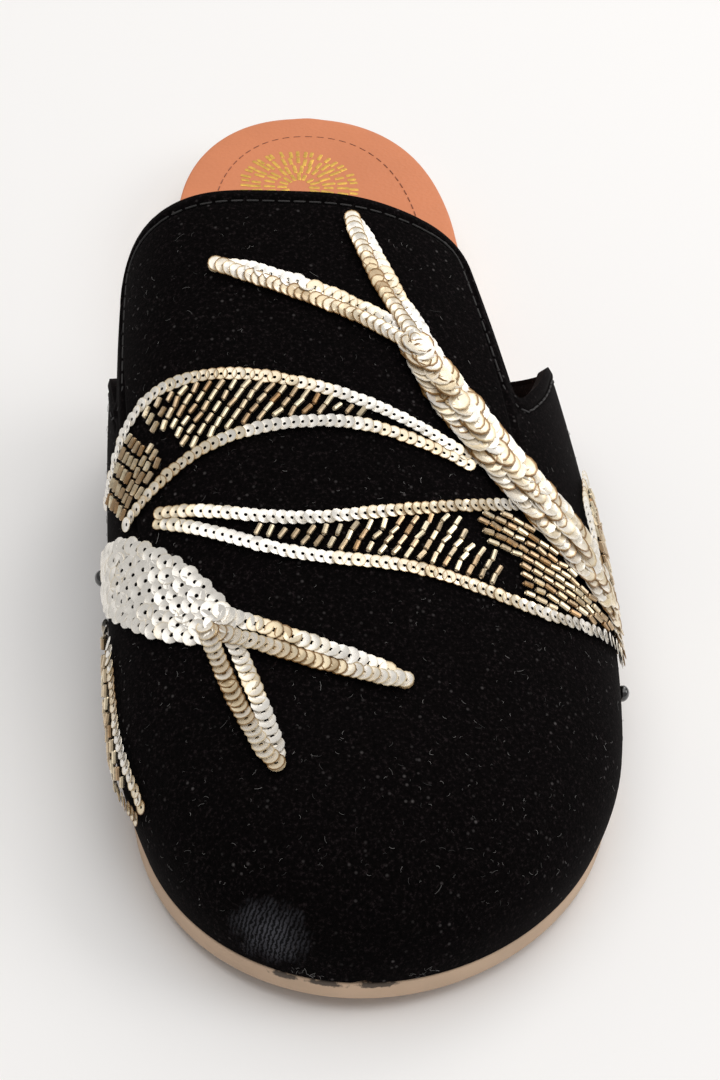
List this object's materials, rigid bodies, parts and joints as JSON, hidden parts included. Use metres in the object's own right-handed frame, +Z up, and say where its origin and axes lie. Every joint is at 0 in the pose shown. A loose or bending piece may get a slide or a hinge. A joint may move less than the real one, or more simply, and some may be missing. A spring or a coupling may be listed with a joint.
{
  "type": "mule",
  "caption": "Backless flat mule for the left foot: velvet upper with beaded birds, notched throat, leather insole and a low-heeled sole.",
  "frame": {"origin": "on the floor, under the middle of the shoe's box", "axes": "+Z up, toe to -Y and heel to +Y, big-toe side to -X"},
  "size_m": [0.1012, 0.2458, 0.0648],
  "materials": {
    "sole": "matt tan moulded sole",
    "insole_leather": "smooth tan leather, light sheen",
    "velvet": "black cotton velvet, dark brown lining",
    "sequins": "glossy pale gold sequins",
    "beads": "gold-lined tube beads",
    "jet_bead": "glossy black bead"
  },
  "bodies": {
    "root": {"outsole": "sole", "insole": "insole_leather", "upper": "velvet", "medial_bird_body": "sequins", "medial_bird_inner_wing": "beads", "medial_bird_outer_wing": "beads", "medial_bird_eye": "jet_bead", "lateral_bird_body": "sequins", "lateral_bird_inner_wing": "beads", "lateral_bird_outer_wing": "beads", "lateral_bird_eye": "jet_bead"}
  },
  "joints": []
}
